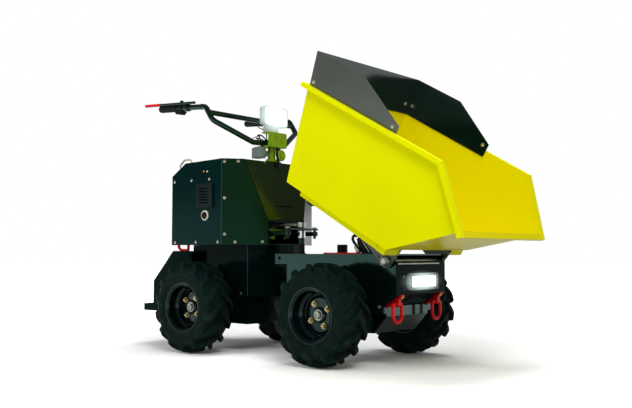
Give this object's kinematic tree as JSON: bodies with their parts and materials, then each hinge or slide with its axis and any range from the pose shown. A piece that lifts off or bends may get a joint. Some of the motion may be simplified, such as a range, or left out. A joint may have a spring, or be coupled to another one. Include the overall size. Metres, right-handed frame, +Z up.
{
  "type": "site dumper",
  "caption": "Small articulated walk-behind site dumper with a forward-tipping open skip, handlebar steering, driven wheels and a rear stand-on platform.",
  "frame": {"origin": "on the ground, under the middle of the machine's bounding box, with the skip as in the picture", "axes": "+X is the way the machine drives, towards the skip's lip; +Y is the machine's left; +Z is up"},
  "size_m": [1.9154, 0.785, 1.2738],
  "materials": {
    "axle_black": "satin",
    "bar_black": "satin",
    "battery_case": "matt",
    "black_plastic": "matt",
    "box_grey": "satin",
    "box_paint": "satin",
    "buffer_black": "satin",
    "chassis_paint": "satin",
    "cradle_grey": "satin",
    "extension_grey": "satin",
    "grip_rubber": "matt",
    "handle_beige": "satin",
    "lamp_case": "satin",
    "lamp_lens": "polished",
    "ram_black": "satin",
    "red_paint": "gloss",
    "rim_black": "gloss",
    "rod_chrome": "polished",
    "skip_yellow": "gloss",
    "tyre_rubber": "matt",
    "zinc_plate": "satin"
  },
  "bodies": {
    "rear_chassis": {"rear_frame": "chassis_paint", "power_box": "box_paint", "power_box_hood": "box_paint", "nose_cover": "box_paint", "side_cover": "black_plastic", "battery_pack": "battery_case", "hood_handles": "handle_beige", "rear_platform": "chassis_paint", "rear_lash_eyes": "red_paint", "rear_axle": "axle_black", "column_bearings": "axle_black", "steady_rod": "zinc_plate"},
    "steering": {"steering_column": "zinc_plate", "handlebar": "bar_black", "grips": "grip_rubber", "drive_lever": "bar_black", "control_box": "box_grey", "work_lamp": "lamp_case", "work_lamp_lens": "lamp_lens", "horn": "zinc_plate", "lever_sleeve": "red_paint", "switch_pod": "black_plastic"},
    "link_left": {"steering_link_left": "bar_black"},
    "link_right": {"steering_link_right": "bar_black"},
    "front_chassis": {"front_frame": "chassis_paint", "front_deck": "chassis_paint", "front_panel": "chassis_paint", "front_lamp": "lamp_case", "front_lamp_lens": "lamp_lens", "front_lash_eyes": "red_paint", "front_axle": "axle_black", "kingpin_lever": "bar_black", "skip_buffers": "buffer_black", "tilt_shaft": "zinc_plate", "ram_mount": "chassis_paint", "safety_stay": "red_paint"},
    "skip": {"skip_shell": "skip_yellow", "skip_cradle": "cradle_grey", "hopper_extension": "extension_grey"},
    "ram_outer": {"ram_barrel": "ram_black"},
    "ram_inner": {"ram_rod": "rod_chrome"},
    "wheel_front_left": {"tyre_front_left": "tyre_rubber", "wheel_front_left": "rim_black"},
    "wheel_front_right": {"tyre_front_right": "tyre_rubber", "wheel_front_right": "rim_black"},
    "wheel_rear_left": {"tyre_rear_left": "tyre_rubber", "wheel_rear_left": "rim_black"},
    "wheel_rear_right": {"tyre_rear_right": "tyre_rubber", "wheel_rear_right": "rim_black"}
  },
  "joints": [
    {"name": "articulation", "type": "hinge", "parent": "rear_chassis", "child": "front_chassis", "pos_m": [-0.09016, 0, 0.36], "axis": [0, 0, 1], "range_deg": [-30, 30]},
    {"name": "handlebar_turn", "type": "hinge", "parent": "rear_chassis", "child": "steering", "pos_m": [-0.28266, 0, 0.8], "axis": [0, 0, 1], "range_deg": [-30.5, 30.5]},
    {"name": "link_left_pivot", "type": "hinge", "parent": "steering", "child": "link_left", "pos_m": [-0.28266, 0.095, 0.544], "axis": [0, 0, 1], "range_deg": [-30.5, 30.5]},
    {"name": "link_right_pivot", "type": "hinge", "parent": "steering", "child": "link_right", "pos_m": [-0.28266, -0.095, 0.544], "axis": [0, 0, 1], "range_deg": [-30.5, 30.5]},
    {"name": "skip_tilt", "type": "hinge", "parent": "front_chassis", "child": "skip", "pos_m": [0.53234, 0, 0.427], "axis": [0, 1, 0], "range_deg": [-30, 40]},
    {"name": "ram_swing", "type": "hinge", "parent": "front_chassis", "child": "ram_outer", "pos_m": [0.40734, 0, 0.25], "axis": [0, 1, 0], "range_deg": [-24, 32]},
    {"name": "ram_stroke", "type": "slide", "parent": "ram_outer", "child": "ram_inner", "axis": [-0.47, 0, 0.8827], "range_m": [-0.11, 0.145]},
    {"name": "front_left_spin", "type": "hinge", "parent": "front_chassis", "child": "wheel_front_left", "pos_m": [0.29734, 0.317, 0.21], "axis": [0, 1, 0], "continuous": true},
    {"name": "front_right_spin", "type": "hinge", "parent": "front_chassis", "child": "wheel_front_right", "pos_m": [0.29734, -0.317, 0.21], "axis": [0, 1, 0], "continuous": true},
    {"name": "rear_left_spin", "type": "hinge", "parent": "rear_chassis", "child": "wheel_rear_left", "pos_m": [-0.47766, 0.317, 0.21], "axis": [0, 1, 0], "continuous": true},
    {"name": "rear_right_spin", "type": "hinge", "parent": "rear_chassis", "child": "wheel_rear_right", "pos_m": [-0.47766, -0.317, 0.21], "axis": [0, 1, 0], "continuous": true}
  ],
  "couplings": [
    {"joint": "handlebar_turn", "follows": "articulation", "ratio": 1},
    {"joint": "link_left_pivot", "follows": "articulation", "ratio": -1},
    {"joint": "link_right_pivot", "follows": "articulation", "ratio": -1},
    {"joint": "ram_swing", "follows": "skip_tilt", "ratio": 0.775},
    {"joint": "ram_stroke", "follows": "skip_tilt", "m_per_rad": 0.184}
  ]
}
